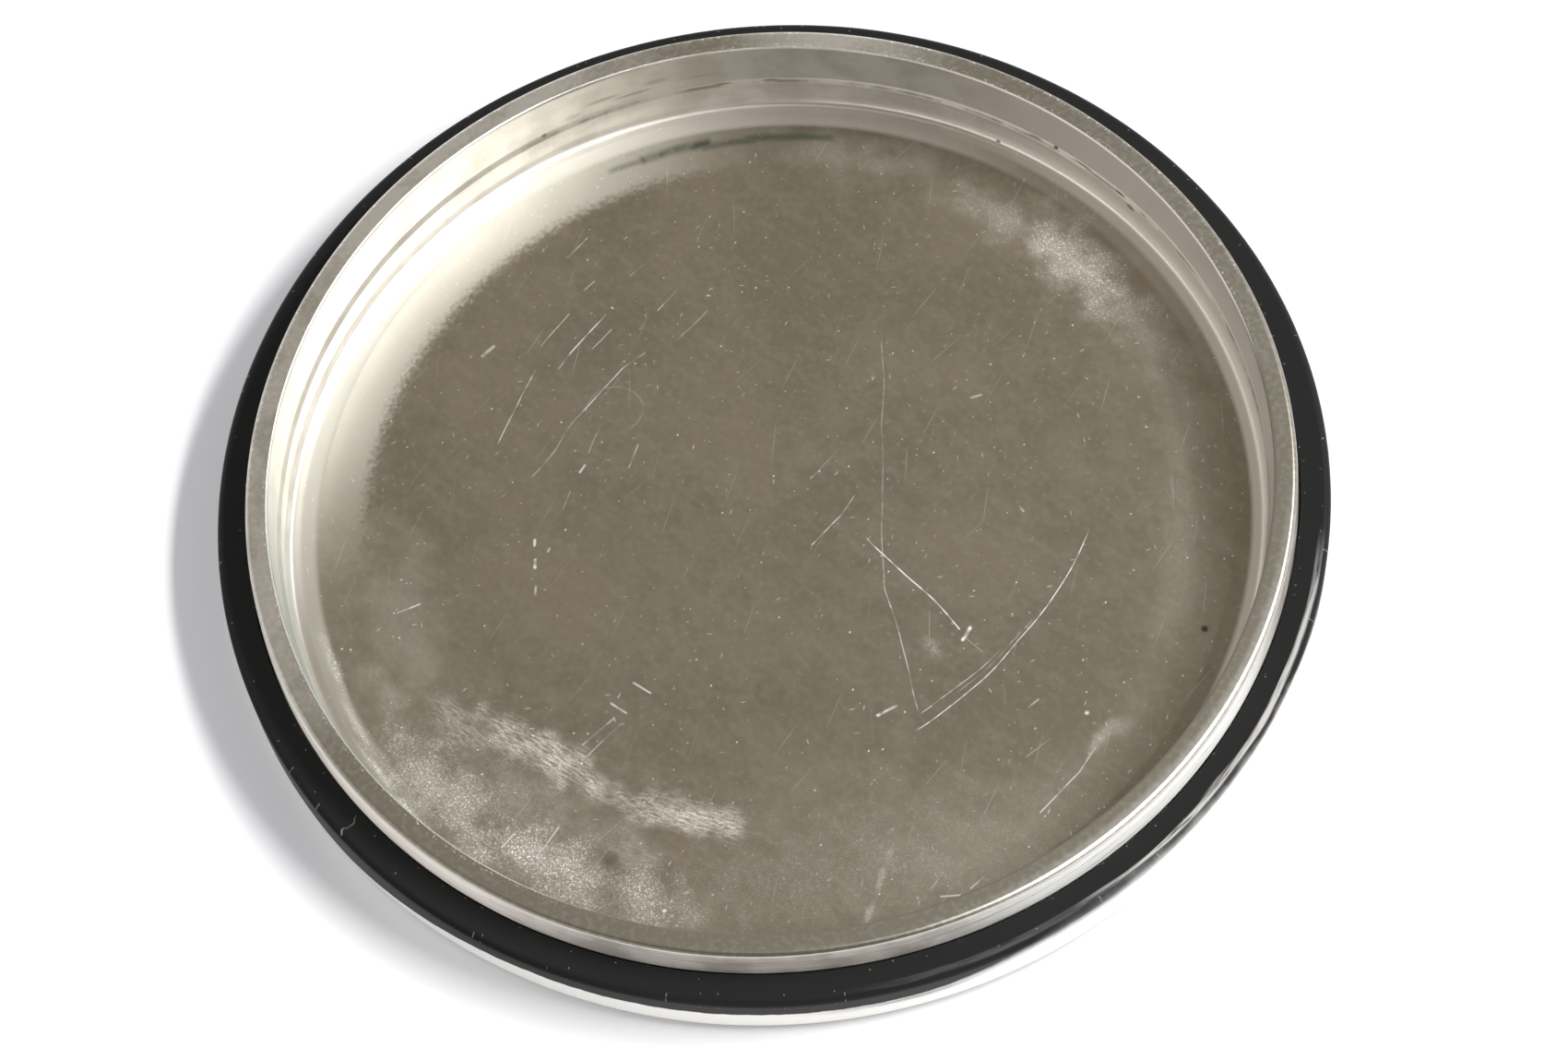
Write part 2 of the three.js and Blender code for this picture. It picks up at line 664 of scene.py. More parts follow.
def makeSector():
    # 1 within a stretch of angle, with soft ends
    tree, given = newGroup("sector", "", "Angle Middle Half Soft", "Mask")
    around = maths(tree, "ABSOLUTE", angleShift(tree, given["Angle"], given["Middle"]))
    outer = plus(tree, given["Half"], given["Soft"])
    inner = minus(tree, given["Half"], given["Soft"])
    closeGroup(tree, {"Mask": ramp(tree, around, outer, inner)})


def makeLineMark():
    # a scratch from a start along a unit direction
    tree, given = newGroup("lineMark", "Place Start Direction", "Length Width Strength", "Mask")
    offset = vectorMaths(tree, "SUBTRACT", given["Place"], given["Start"])
    reach = vectorMaths(tree, "DOT_PRODUCT", offset, given["Direction"], "Value")
    along = addNode(tree, "Clamp", {0: reach, 1: 0, 2: given["Length"]}).outputs[0]
    nearest = scaled(tree, given["Direction"], along)
    away = vectorMaths(tree, "DISTANCE", offset, nearest, "Value")
    closeGroup(tree, {"Mask": ramp(tree, away, given["Width"], 0, 0, given["Strength"])})


def makeArcMark():
    # a scratch along part of a circle; Cosine is that of the half angle
    tree, given = newGroup("arcMark", "Place Centre Middle", "Radius Cosine Width Strength", "Mask")
    offset = vectorMaths(tree, "SUBTRACT", given["Place"], given["Centre"])
    off = offBy(tree, lengthOf(tree, offset), given["Radius"])
    heading = vectorMaths(tree, "NORMALIZE", offset)
    side = vectorMaths(tree, "DOT_PRODUCT", heading, given["Middle"], "Value")
    fade = effectValues["arcFade"]
    full = scaledPlus(tree, given["Cosine"], 1 - fade, fade)
    within = ramp(tree, side, given["Cosine"], full)
    line = ramp(tree, off, given["Width"], 0, 0, given["Strength"])
    closeGroup(tree, {"Mask": times(tree, within, line)})


def makeFlecks():
    # loose short dashes, one to a cell at most, each turned its own way
    v = effectValues
    tree, given = newGroup("flecks", "Place Size", "Scale Share Turn Spread", "Mask")
    inputs = {"Vector": given["Place"], "Scale": given["Scale"]}
    cells = addNode(tree, "TexVoronoi", inputs, voronoi_dimensions="2D").outputs
    random = addNode(tree, "SeparateColor", {0: cells["Color"]}).outputs
    kept = maths(tree, "LESS_THAN", random[1], given["Share"])
    angle = scaledPlus(tree, minus(tree, random[0], 0.5), given["Spread"], given["Turn"])
    offset = vectorMaths(tree, "SUBTRACT", flattened(tree, given["Place"]), cells["Position"])
    away = lengthOf(tree, vectorMaths(tree, "DIVIDE", turned(tree, offset, angle), given["Size"]))
    strength = scaledPlus(tree, random[2], 1 - v["weakestFleck"], v["weakestFleck"])
    closeGroup(tree, {"Mask": times(tree, kept, ramp(tree, away, 1, v["softCore"], 0, strength))})


def makeSmear():
    # a long soft smudge whose edge is broken by the noise given
    v = effectValues
    tree, given = newGroup("smear", "Place Centre Size", "Turn Break Streak Haze Sparkle", "Haze Sparkle")
    offset = vectorMaths(tree, "SUBTRACT", given["Place"], given["Centre"])
    along = turned(tree, offset, given["Turn"], backwards=True)
    away = lengthOf(tree, vectorMaths(tree, "DIVIDE", along, given["Size"]))
    away = scaledPlus(tree, minus(tree, given["Break"], 0.5), v["smearBreak"], away)
    inside = ramp(tree, away, *v["smearFade"])
    streaks = noiseAt(tree, stretched(tree, along, v["smearStretch"]), detail=3)
    texture = mixValue(tree, given["Streak"], 1, ramp(tree, streaks, *v["smearTexture"]))
    closeGroup(tree, {
        "Haze": times(tree, inside, texture, given["Haze"]),
        "Sparkle": times(tree, inside, given["Sparkle"]),
    })


def makeEffects():
    makeRoundPlace()
    makeSector()
    makeLineMark()
    makeArcMark()
    makeFlecks()
    makeSmear()


def placeInMillimetres(tree):
    spot = scaled(tree, addNode(tree, "TexCoord").outputs["Object"], 1 / mm)
    around = useGroup(tree, "roundPlace", {"Place": spot})
    return spot, around["Radius"], around["Angle"], around["Height"]


def unrollPlace(tree, radius, angle, height, arcRadius):
    # round the tin, and up its side and in or out over rim and shelf
    return flatPlace(tree, times(tree, angle, math.radians(1) * arcRadius), plus(tree, height, radius))


def sectorMask(tree, angle, sectors):
    masks = []
    for middle, half, soft, strength in sectors:
        mask = useGroup(tree, "sector", {"Angle": angle, "Middle": middle, "Half": half, "Soft": soft})[0]
        masks.append(times(tree, mask, strength))
    return strongest(tree, *masks)


# Tarnished floor and border of the pan, with scratches, smears and dust.
# Marks are in millimetres from the tin's axis.

floorValues = {
    "oliveColour": (0.24, 0.214, 0.157, 1),
    "warmColour": (0.282, 0.247, 0.187, 1),
    "darkColour": (0.187, 0.167, 0.115, 1),
    "streakColour": (0.4, 0.365, 0.295, 1),
    "stepHighlightColour": (0.52, 0.485, 0.42, 1),
    "borderColour": (0.64, 0.6, 0.53, 1),
    "markColour": (0.86, 0.84, 0.79, 1),
    "hazeAndCausticColour": (0.63, 0.6, 0.52, 1),
    "stainColour": (0.06, 0.05, 0.035, 1),
    "greenStain": (0.07, 0.085, 0.065, 1),
    "darkFade": (25, 27.5),
    "stepFade": (29.1, 29.6),
    "borderFade": (30.1, 30.5),
    "paintedCausticFade": (26.3, 27.6, 0, 0.68),
    "paintedCausticBreak": 1.4,
    "mottleScale": 0.55,
    "broadScale": 0.09,
    "broadShare": 0.6,
    "toneFade": (0.35, 0.65),
    "streakTurn": 48,
    "streakStretch": (0.4, 1.1, 0),
    "streakFade": (0.48, 0.72, 0, 0.14),
    "gritScale": 2.2,
    "lightGrit": (0.5, 0.8, 0, 0.16),
    "darkGrit": (0.5, 0.2, 0, 0.16),
    "bendScale": 0.15,
    "bendReach": 0.55,
    "markSpread": 1.25,
    "breakScale": 1.1,
    "breakFade": (0.35, 0.55, 0.35, 1),
    "edgeScale": 0.5,
    "ringBreak": (0.35, 0.55, 0.6, 1),
    "metal": 0.82,
    "hazeMetal": 0.35,
    "markMetal": 0.3,
    "rough": 0.28,
    "borderRough": 0.28,
    "hazeRough": 0.42,
    "markRough": 0.5,
    "grainRough": 0.005,
    "grainScale": 3,
    "dent": 0.001 * mm,
}

# middle angle, half angle and soft end in degrees, strength
# painted highlight on the step at the floor's edge, mostly on the far side
paintedStepHighlight = [(128, 78, 16, 1), (40, 26, 14, 0.4)]
dullBorder = [(202, 16, 8, 0.5)]
# painted shadow of the right wall across the floor's edge
paintedWallShadow = [(-5, 48, 16, 0.2)]
# painted pool of the wall's reflected light on the floor
paintedCausticSector = [(135, 38, 18, 1)]

# start x, y, end x, y, half width, strength
lineMarks = [
    (8.6, 11.3, 7, -0.1, 0.045, 0.3),
    (7, -0.1, 6.2, -6.8, 0.045, 0.45),
    (6.2, -6.8, 7.2, -15.4, 0.05, 0.5),
    (5.7, -3, 10.3, -10.2, 0.06, 0.9),
    (10.7, -10.9, 11.6, -12.1, 0.045, 0.3),
    (10.45, -10.95, 11, -10.25, 0.16, 1),
    (5.2, 0.2, 4.2, -1.2, 0.05, 0.45),
    (4.2, -1.2, 2.1, -3, 0.055, 0.6),
    (4.7, -15.3, 5.9, -14.8, 0.12, 0.7),
    (4.7, -15.3, 4.8, -15.25, 0.15, 1),
    (-17.1, 7.5, -14.1, 12.6, 0.055, 0.6),
    (-13.6, 14.3, -11.7, 16.5, 0.055, 0.5),
    (-12.7, 12.4, -11.8, 13.5, 0.05, 0.4),
    (-11.8, 13.5, -9.2, 16.1, 0.06, 0.8),
    (-11.3, 20.7, -9.8, 22.1, 0.06, 0.5),
    (-5.8, 15.8, -4.3, 17.2, 0.06, 0.5),
    (-12.1, 8.1, -8.4, 11.9, 0.06, 0.65),
    (-8.4, 11.9, -6.9, 12.8, 0.05, 0.4),
    (-15.2, 4.7, -13.4, 6.4, 0.06, 0.35),
    (-13.4, 6.4, -12.1, 8.1, 0.05, 0.3),
    (-4.9, 13.3, -2.5, 15.4, 0.05, 0.35),
    (-10.3, 13.7, -8.9, 14.9, 0.06, 0.4),
    (-10.6, 18.1, -9.8, 18.7, 0.06, 0.4),
    (-7.3, 18.7, -6.1, 19.5, 0.06, 0.35),
    (-17.5, 14.2, -16.7, 14.8, 0.15, 0.5),
    (-11.2, 5.8, -10.2, 7.7, 0.05, 0.35),
    (-12, 4.6, -11.6, 5, 0.1, 0.7),
    (-13.4, 2.1, -12.8, 3.3, 0.06, 0.4),
    (-8.8, 4.3, -8, 5.9, 0.055, 0.5),
    (-15.3, 0, -15.35, -0.35, 0.12, 0.8),
    (-15.4, -1.4, -15.45, -1.9, 0.14, 0.8),
    (-15.5, -3.2, -15.6, -3.8, 0.1, 0.5),
    (-14.4, -0.7, -14.5, -0.9, 0.1, 0.6),
    (-24.5, -3.7, -23, -3.3, 0.07, 0.7),
    (-13.6, -14.6, -11.6, -13.1, 0.08, 0.4),
    (-13.4, -15.4, -11.2, -13.6, 0.07, 0.35),
    (-11.7, -12.1, -10.8, -12.9, 0.1, 0.6),
    (-10.1, -10.9, -9.1, -11.8, 0.09, 0.6),
    (-16.8, -21.3, -15.6, -20, 0.07, 0.6),
    (-19.3, -20.7, -18.5, -20, 0.08, 0.6),
    (13.5, -23.3, 16.3, -21.1, 0.055, 0.6),
    (16.3, -21.1, 17.4, -19.6, 0.07, 0.4),
    (13.1, -19.6, 14.8, -18.5, 0.05, 0.3),
    (8.6, -27.6, 9.5, -27, 0.07, 0.6),
    (6.8, -27.8, 7.9, -27.9, 0.08, 0.6),
    (6.2, -27.3, 7.1, -26.3, 0.055, 0.35),
    (13.9, -16.2, 14.6, -15.8, 0.09, 0.4),
    (17.2, -17.2, 17.25, -17.2, 0.16, 1),
    (-9.8, -26.4, -9.75, -26.4, 0.14, 1),
    (-9.4, -26.8, -9.35, -26.8, 0.12, 0.8),
    (15.4, -2.3, 15.6, -2.7, 0.1, 0.4),
    (13.6, 5.9, 14.3, 6, 0.1, 0.4),
]

# centre x, y, radius, middle angle and half angle in degrees, half width, strength
arcMarks = [
    (-5.6, 9.03, 28.61, -46.5, 18.5, 0.055, 0.95),
    (-9.33, 17.05, 36.64, -58, 5.5, 0.05, 0.55),
    (-7.4, 13, 32.5, -52, 7, 0.045, 0.35),
    (-9.3, 8.7, 1.8, 60, 150, 0.09, 0.16),
]

# the same for the dark arc at the floor's far edge
edgeStains = [
    (0, 0, 28.5, 96.5, 5.5, 0.6, 0.9),
    (0, 0, 28.45, 101.5, 5, 0.45, 0.5),
    (0, 0, 28.2, 89, 4, 0.5, 0.6),
    (0, 0, 28.4, 81, 6.5, 0.5, 0.65),
]

# x, y, turn in degrees, half length, half width, haze, sparkle, streakiness
smears = [
    (-24.5, -5, -80, 13, 4, 0.18, 0.05, 0.2),
    (-18.5, -18.5, -45, 13, 6.5, 0.24, 0.2, 0.2),
    (2, -25, 2, 20, 7, 0.09, 0.2, 0.1),
    (-25.2, -9.6, -68, 4.5, 1.7, 0.3, 0.1, 0.4),
    (-22.6, -16.6, -54, 7, 2.8, 0.5, 0.8, 0.25),
    (-16.8, -21.9, -38, 7.5, 2.8, 0.5, 1, 0.25),
    (-11.3, -25, -24, 5, 2.2, 0.35, 0.8, 0.25),
    (-16.3, -14.8, -40, 6, 1.7, 0.85, 0.5, 0.8),
    (-8.6, -20, -25, 5.6, 1.5, 0.8, 0.5, 0.8),
    (-21.2, -12, -45, 4, 1.6, 0.45, 0.2, 0.8),
    (-11.5, -22.5, -20, 3, 1.6, 0.3, 0, 0.5),
    (21.9, 15, -56, 7.5, 2.8, 0.5, 0.8, 0.25),
    (25.4, 9.3, -69, 6, 2, 0.25, 0.2, 0.2),
    (17.5, 19.5, -42, 5, 2.2, 0.25, 0.3, 0.2),
    (8, 25.8, -14, 8, 2.4, 0.2, 0.1, 0.2),
    (25.6, -4, 80, 12, 2.2, 0.06, 0.1, 0.1),
    (2.4, -28.2, 61, 1.3, 0.4, 0.4, 0.4, 0.5),
    (3.25, -26.4, 69, 1.3, 0.45, 0.45, 0.8, 0.5),
    (4.2, -24.5, 58, 1.4, 0.35, 0.3, 0.3, 0.5),
    (18, -18.9, 45, 1.5, 0.5, 0.25, 0.3, 0.5),
    (19.2, -18.3, 10, 1.3, 0.7, 0.22, 0.1, 0.4),
    (8.7, -11.2, -70, 1.4, 0.7, 0.2, 0.4, 1),
    # the last five rows are painted highlight streaks along the border's rise, not smears
    (-28.6, -7.1, -76, 3.2, 0.4, 0.2, 1, 0.5),
    (-27.6, -11, -68, 3.2, 0.4, 0.45, 1, 0.5),
    (-26.3, -14.6, -60, 3, 0.4, 0.55, 1, 0.5),
    (-24.6, -17.6, -53, 3, 0.4, 0.5, 1, 0.5),
    (-22.2, -20.4, -46, 2.8, 0.4, 0.3, 0.9, 0.5),
]

# x, y, radius of the ring's line, half width, strength; a spot has radius 0
stains = [
    (25.5, -12.6, 0, 0.32, 1),
    (-1.8, -12.8, 0.8, 0.3, 0.12),
    (-12.7, -22.4, 0.2, 0.42, 0.3),
]

# cells to a millimetre, share kept, half length, half width, turn and spread in degrees, strength
fleckLayers = [
    (0.6, 0.18, 0.26, 0.06, -50, 120, 0.5),
    (0.5, 0.28, 0.1, 0.08, 0, 340, 0.85),
    (1.1, 0.15, 0.08, 0.06, 0, 340, 0.7),
    (0.24, 0.7, 1.9, 0.045, -60, 50, 0.22),
    (1.5, 0.1, 0.16, 0.11, 0, 340, 0.14),
]

# the same for the painted glints in the smears
smearGlintLayers = [
    (2.4, 0.35, 0.15, 0.08, -45, 200, 1),
    (4.4, 0.45, 0.1, 0.06, 0, 340, 1),
    (8, 0.6, 0.06, 0.05, 0, 340, 0.9),
]


def lineMask(tree, spot, lines, spread):
    masks = []
    for x, y, endX, endY, width, strength in lines:
        run = Vector((endX - x, endY - y, 0))
        inputs = {"Place": spot, "Start": (x, y, 0), "Direction": run.normalized(), "Length": run.length,
                  "Width": spread * width, "Strength": strength}
        masks.append(useGroup(tree, "lineMark", inputs)[0])
    return strongest(tree, *masks)


def arcMask(tree, spot, arcs):
    masks = []
    for x, y, radius, middle, half, width, strength in arcs:
        around = math.radians(middle)
        inputs = {"Place": spot, "Centre": (x, y, 0), "Radius": radius,
                  "Middle": (math.cos(around), math.sin(around), 0), "Cosine": math.cos(math.radians(half)),
                  "Width": width, "Strength": strength}
        masks.append(useGroup(tree, "arcMark", inputs)[0])
    return strongest(tree, *masks)


def smearMasks(tree, spot, broken):
    hazes = []
    sparkles = []
    for x, y, angle, length, width, haze, sparkle, streak in smears:
        inputs = {"Place": spot, "Centre": (x, y, 0), "Turn": math.radians(angle),
                  "Size": (length, width, 1), "Break": broken, "Streak": streak, "Haze": haze,
                  "Sparkle": sparkle}
        smear = useGroup(tree, "smear", inputs)
        hazes.append(smear[0])
        sparkles.append(smear[1])
    return strongest(tree, *hazes), strongest(tree, *sparkles)


def stainMask(tree, spot):
    masks = []
    for x, y, radius, width, strength in stains:
        off = offBy(tree, vectorMaths(tree, "DISTANCE", spot, (x, y, 0), "Value"), radius)
        masks.append(ramp(tree, off, width, effectValues["softCore"] * width, 0, strength))
    return strongest(tree, *masks)


def fleckMask(tree, spot, layers):
    masks = []
    for scale, share, length, width, angle, spread, strength in layers:
        inputs = {"Place": spot, "Scale": scale, "Share": share, "Size": (length, width, 1),
                  "Turn": math.radians(angle), "Spread": math.radians(spread)}
        masks.append(times(tree, useGroup(tree, "flecks", inputs)[0], strength))
    return strongest(tree, *masks)


def makeTarnishedTin():
    v = floorValues
    material, tree = newMaterial("tarnishedTin")
    spot, radius, angle, _ = placeInMillimetres(tree)
    flat = flattened(tree, spot)
    wobble = noiseAt(tree, flat, v["bendScale"], output="Color")
    wobble = vectorMaths(tree, "SUBTRACT", wobble, (0.5, 0.5, 0.5))
    bent = vectorMaths(tree, "ADD", flat, stretched(tree, wobble, (v["bendReach"], v["bendReach"], 0)))

    # scratches, flecks and smears, with painted glints in the smears and painted highlight streaks along
    # the border
    broken = ramp(tree, noiseAt(tree, flat, v["breakScale"]), *v["breakFade"])
    lines = lineMask(tree, bent, lineMarks, v["markSpread"])
    scratches = times(tree, strongest(tree, lines, arcMask(tree, bent, arcMarks)), broken)
    haze, sparkle = smearMasks(tree, flat, noiseAt(tree, flat, v["edgeScale"], detail=2))
    # painted glints in the smears
    sparkle = times(tree, sparkle, fleckMask(tree, flat, smearGlintLayers))
    marks = strongest(tree, scratches, fleckMask(tree, flat, fleckLayers), sparkle)

    # painted light: a pale frosted ring painted where the wall's reflected light falls on the floor
    grain = noiseAt(tree, flat, v["grainScale"], detail=2)
    paintedCaustic = ramp(tree, scaledPlus(tree, grain, v["paintedCausticBreak"], radius), *v["paintedCausticFade"])
    haze = strongest(tree, haze, times(tree, paintedCaustic, sectorMask(tree, angle, paintedCausticSector)))

    # the tarnish's own tones and the stains, with a painted shadow of the right wall on the floor's edge
    # and a painted highlight on the step
    mottle = noiseAt(tree, flat, v["mottleScale"], detail=2)
    broad = noiseAt(tree, flat, v["broadScale"])
    tone = ramp(tree, mixValue(tree, v["broadShare"], mottle, broad), *v["toneFade"])
    rotation = (0, 0, math.radians(v["streakTurn"]))
    along = addNode(tree, "Mapping", {"Vector": flat, "Rotation": rotation}).outputs[0]
    streaks = noiseAt(tree, stretched(tree, along, v["streakStretch"]), detail=3)
    grit = noiseAt(tree, flat, v["gritScale"], detail=2)
    # painted shadow: the floor's edge darker where the right wall shades it
    shaded = times(tree, ramp(tree, radius, *v["darkFade"]), sectorMask(tree, angle, paintedWallShadow))
    # painted highlight: the step lighter where it catches the light
    step = times(tree, ramp(tree, radius, *v["stepFade"]), sectorMask(tree, angle, paintedStepHighlight))
    border = ramp(tree, radius, *v["borderFade"])
    darkened = times(tree, border, sectorMask(tree, angle, dullBorder))
    ringed = times(tree, arcMask(tree, bent, edgeStains), ramp(tree, mottle, *v["ringBreak"]))
    colour = cover(tree, blend, v["oliveColour"], [
        (tone, v["warmColour"]),
        (ramp(tree, streaks, *v["streakFade"]), v["streakColour"]),
        (ramp(tree, grit, *v["lightGrit"]), v["streakColour"]),
        (ramp(tree, grit, *v["darkGrit"]), v["darkColour"]),
        (shaded, v["darkColour"]),
        (step, v["stepHighlightColour"]),
        (border, v["borderColour"]),
        (darkened, v["warmColour"]),
        # the smears' haze, and the painted light of the frosted ring
        (haze, v["hazeAndCausticColour"]),
        (marks, v["markColour"]),
        (stainMask(tree, flat), v["stainColour"]),
        (ringed, v["greenStain"]),
    ])

    rough = scaledPlus(tree, minus(tree, grain, 0.5), v["grainRough"], v["rough"])
    metals = [(haze, v["hazeMetal"]), (marks, v["markMetal"])]
    roughs = [(border, v["borderRough"]), (haze, v["hazeRough"]), (marks, v["markRough"])]
    return finishMaterial(material, tree, {
        "Base Color": colour,
        "Metallic": cover(tree, mixValue, v["metal"], metals),
        "Roughness": cover(tree, mixValue, rough, roughs),
        "Normal": bumpFrom(tree, grain, v["dent"]),
    })


# Drawn tin: the pan's wall, rim, skirt and underside

drawnValues = {
    "wallColour": (0.84, 0.8, 0.73, 1),
    "wallDull": (0.7, 0.66, 0.59, 1),
    "wallLight": (0.98, 0.93, 0.87, 1),
    "wallTint": (0.64, 0.68, 0.63, 1),
    "lipColour": (0.285, 0.26, 0.21, 1),
    "lipBright": (0.62, 0.59, 0.54, 1),
    "bendShadeColour": (0.26, 0.24, 0.19, 1),
    "edgeColour": (0.9, 0.88, 0.84, 1),
    "skirtColour": (1, 0.94, 0.85, 1),
    "sunlitSkirtWhite": (1, 1, 0.96, 1),
    "skirtShadeColour": (0.2, 0.182, 0.158, 1),
    "lineColour": (0.3, 0.24, 0.19, 1),
    "stainColour": (0.16, 0.12, 0.08, 1),
    "wallRadius": 31.27,
    "wallTo": 31.35,
    "belowRim": (31.47, 31.4),
    "bendFade": (31.55, 31.45),
    "lipHeight": 6.35,
    "lipInner": (31.4, 31.5),
    "lipOuter": (32.77, 32.74),
    "outerLipHighlight": (31.9, 32.35),
    "glintInner": (31.8, 31.6),
    "glintRadius": 32.52,
    "glintOuter": (0.16, 0.08),
    "skirtFade": (32.76, 32.79),
    "skirtTop": (6.15, 6.35, 0, 0.5),
    "streakAround": 2.5,
    "streakUp": 0.3,
    "patchScale": 0.35,
    "dullFade": (0.35, 0.7),
    "wearAndHighlightBreak": (0.3, 0.6, 0.6, 1),
    "skirtBreak": (0.3, 0.6, 0.7, 1),
    "blotchScale": 2.4,
    "blotchFade": (0.38, 0.68, -0.06, 0.14),
    "lineStretch": (0.06, 5, 0),
    "lineFade": (0.04, 0, 0, 0.6),
    "wallLines": 0.35,
    "creaseHeight": 2.95,
    "creaseFade": (0.14, 0.03),
    "creaseBreak": (0.42, 0.6, 0.1, 0.6),
    "wallMetal": 0.72,
    "lipMetal": 0.9,
    "skirtMetal": 0,
    "wallRough": 0.285,
    "lipRough": 0.285,
    "skirtRough": 0.42,
    "pitScale": 5,
    "pitShare": 0.1,
    "dent": 0.011 * mm,
}

# middle angle, half angle and soft end in degrees, strength
glintingInnerEdge = [(57, 48, 8, 1), (205, 34, 8, 1)]
brightInside = [(57, 48, 8, 1), (150, 40, 10, 1), (210, 28, 8, 0.9)]
# painted light on the wall at the right
paintedLitWall = [(22, 32, 12, 1)]
tintedWall = [(198, 20, 8, 1)]
# painted highlights on the lip where it catches the light
paintedLipHighlight = [(75, 9, 9, 1), (125, 24, 12, 1), (172, 32, 10, 0.8), (20, 24, 10, 0.15)]
paintedOuterLipHighlight = [(-44, 26, 14, 0.6)]
glintingOuterEdge = [(95, 80, 8, 1)]
# painted light: the skirt whiter where the lamp shines on it
paintedSunlitSkirt = [(-45, 32, 14, 1)]
# painted shade on the skirt
paintedSkirtShade = [(262, 24, 10, 0.8), (-6, 24, 10, 1), (110, 80, 20, 0.42)]
stainedCrease = [(55, 60, 15, 1)]

# cells to a millimetre, share kept, half length, half width, turn and spread in degrees, strength
rimEdgeGlints = [
    (2.2, 0.5, 0.14, 0.08, 0, 60, 1),
    (4, 0.5, 0.08, 0.06, 0, 340, 0.8),
    (1.2, 0.6, 0.14, 0.12, 0, 60, 1),
]

# angle in degrees, height in millimetres, half width across and up in millimetres, strength
wallStains = [
    (34, 2.6, 0.5, 0.35, 0.7),
    (36, 3, 0.7, 0.12, 0.9),
    (42, 3.05, 1.2, 0.09, 0.8),
    (49, 3.05, 0.8, 0.1, 0.8),
    (83, 3.05, 0.9, 0.1, 0.7),
    (89, 3.05, 0.9, 0.09, 0.7),
    (46, 3.1, 0.25, 0.2, 1),
    (54, 0.75, 0.25, 0.25, 0.9),
    (112, 3.15, 0.3, 0.2, 0.7),
    (104, 4.3, 1.6, 0.28, 0.4),
    (100, 3.9, 1.9, 0.18, 0.45),
    (97, 4.6, 1.2, 0.38, 0.3),
    (108, 3.7, 0.9, 0.35, 0.25),
    (92, 4.2, 2.2, 0.14, 0.25),
]


def unrolledSpots(tree, angle, height, radius, spots):
    # soft ovals on the unrolled wall
    masks = []
    for middle, spotHeight, halfWidth, halfHeight, strength in spots:
        across = times(tree, angleShift(tree, angle, middle), math.radians(1) * radius / halfWidth)
        up = times(tree, minus(tree, height, spotHeight), 1 / halfHeight)
        away = lengthOf(tree, flatPlace(tree, across, up))
        masks.append(ramp(tree, away, 1, effectValues["softCore"], 0, strength))
    return strongest(tree, *masks)


